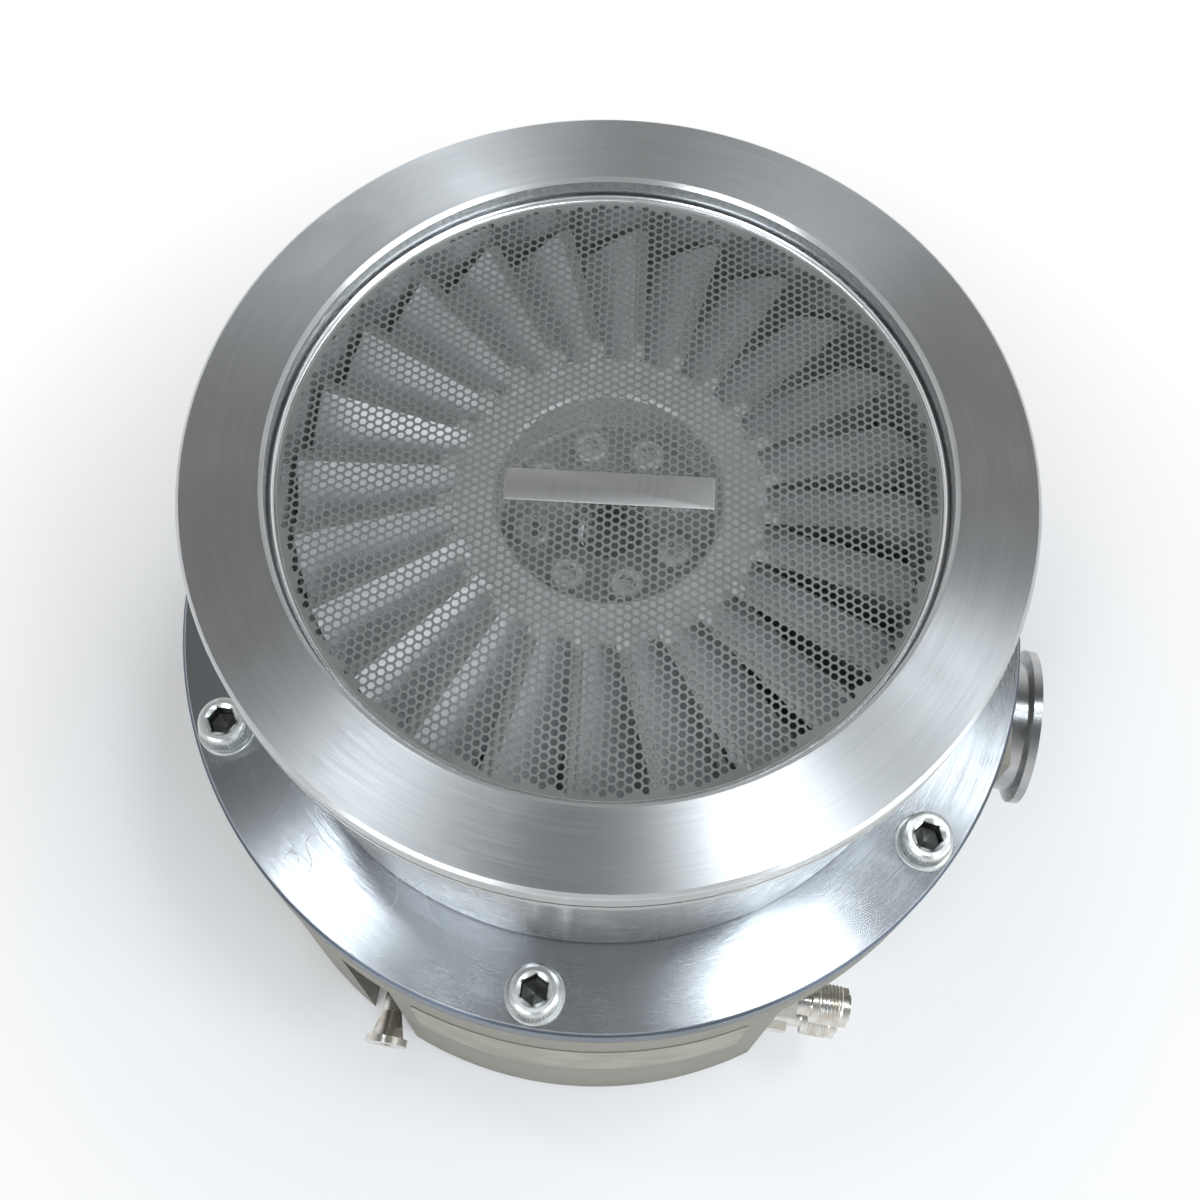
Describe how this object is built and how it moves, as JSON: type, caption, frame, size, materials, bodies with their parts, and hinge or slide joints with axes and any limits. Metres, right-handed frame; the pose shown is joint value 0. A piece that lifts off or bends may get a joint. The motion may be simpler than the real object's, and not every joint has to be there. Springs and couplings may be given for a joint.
{
  "type": "turbomolecular pump",
  "caption": "Compact turbomolecular vacuum pump: round clamp-flange inlet with a screen over a bladed rotor, bolted casing, and a base with a side exhaust port and fittings.",
  "frame": {"origin": "centre of the base's bottom face, on the rotor axis", "axes": "+Z along the rotor axis towards the inlet flange; +X along the exhaust port; the front pad faces -Y"},
  "size_m": [0.295, 0.2865, 0.247],
  "materials": {
    "casing_aluminium": "turned and lightly brushed",
    "base_casting": "smooth pale grey-beige coating",
    "cover_aluminium": "milled",
    "screen_steel": "etched thin sheet, satin",
    "rotor_aluminium": "milled blades, satin",
    "stator_aluminium": "milled, satin",
    "spacer_aluminium": "turned",
    "column_aluminium": "turned",
    "screw_steel": "bright stainless",
    "seal_rubber": "matt fluoroelastomer",
    "winding": "enamelled copper wire",
    "core_steel": "laminated electrical steel",
    "magnet_sleeve": "carbon-wrapped permanent magnet",
    "shaft_steel": "ground",
    "bearing_balls": "polished silicon nitride",
    "sensor_resin": "cast resin",
    "port_steel": "turned stainless steel",
    "fitting_brass": "turned brass, partly nickel plated",
    "socket_shell": "black anodised shell"
  },
  "bodies": {
    "housing": {"axial_sensor": "sensor_resin", "base": "base_casting", "bearing_column": "column_aluminium", "bottom_cover": "cover_aluminium", "bottom_cover_screws": "screw_steel", "bottom_cover_sealing_ring": "seal_rubber", "carrier_screws": "screw_steel", "casing": "casing_aluminium", "casing_screws": "screw_steel", "casing_sealing_ring": "seal_rubber", "column_screws": "screw_steel", "drag_stator": "stator_aluminium", "electrical_socket": "socket_shell", "exhaust_port": "port_steel", "exhaust_sealing_ring": "seal_rubber", "inlet_screen": "screen_steel", "lower_axial_magnet": "core_steel", "lower_bearing_coils": "winding", "lower_bearing_core": "core_steel", "lower_radial_sensor": "sensor_resin", "lower_touchdown_outer_race": "shaft_steel", "motor_coils": "winding", "motor_core": "core_steel", "purge_port": "port_steel", "socket_screws": "screw_steel", "spacer_ring_1": "spacer_aluminium", "spacer_ring_2": "spacer_aluminium", "spacer_ring_3": "spacer_aluminium", "spacer_ring_4": "spacer_aluminium", "spacer_ring_5": "spacer_aluminium", "stator_disc_1_front_half": "stator_aluminium", "stator_disc_1_rear_half": "stator_aluminium", "stator_disc_2_front_half": "stator_aluminium", "stator_disc_2_rear_half": "stator_aluminium", "stator_disc_3_front_half": "stator_aluminium", "stator_disc_3_rear_half": "stator_aluminium", "stator_disc_4_front_half": "stator_aluminium", "stator_disc_4_rear_half": "stator_aluminium", "upper_axial_magnet": "core_steel", "upper_bearing_carrier": "column_aluminium", "upper_bearing_coils": "winding", "upper_bearing_core": "core_steel", "upper_radial_sensor": "sensor_resin", "upper_touchdown_outer_race": "shaft_steel", "water_inlet_fitting": "fitting_brass", "water_outlet_fitting": "fitting_brass"},
    "rotor": {"rotor": "rotor_aluminium", "rotor_screws": "screw_steel", "shaft": "shaft_steel", "upper_bearing_sleeve": "core_steel", "lower_bearing_sleeve": "core_steel", "motor_magnet": "magnet_sleeve", "axial_bearing_disc": "core_steel", "shaft_nut": "shaft_steel"},
    "upper_inner_race": {"upper_touchdown_inner_race": "shaft_steel"},
    "lower_inner_race": {"lower_touchdown_inner_race": "shaft_steel"},
    "upper_ball_ring": {"upper_touchdown_ball_ring": "bearing_balls"},
    "lower_ball_ring": {"lower_touchdown_ball_ring": "bearing_balls"}
  },
  "joints": [
    {"name": "rotor_spin", "type": "hinge", "parent": "housing", "child": "rotor", "pos_m": [0, 0, 0.1], "axis": [0, 0, -1], "continuous": true},
    {"name": "upper_race_spin", "type": "hinge", "parent": "housing", "child": "upper_inner_race", "pos_m": [0, 0, 0.1], "axis": [0, 0, -1], "continuous": true},
    {"name": "lower_race_spin", "type": "hinge", "parent": "housing", "child": "lower_inner_race", "pos_m": [0, 0, 0.1], "axis": [0, 0, -1], "continuous": true},
    {"name": "upper_ball_ring_spin", "type": "hinge", "parent": "housing", "child": "upper_ball_ring", "pos_m": [0, 0, 0.1], "axis": [0, 0, -1], "continuous": true},
    {"name": "lower_ball_ring_spin", "type": "hinge", "parent": "housing", "child": "lower_ball_ring", "pos_m": [0, 0, 0.1], "axis": [0, 0, -1], "continuous": true}
  ],
  "couplings": [
    {"joint": "upper_ball_ring_spin", "follows": "upper_race_spin", "ratio": 0.461},
    {"joint": "lower_ball_ring_spin", "follows": "lower_race_spin", "ratio": 0.461}
  ]
}
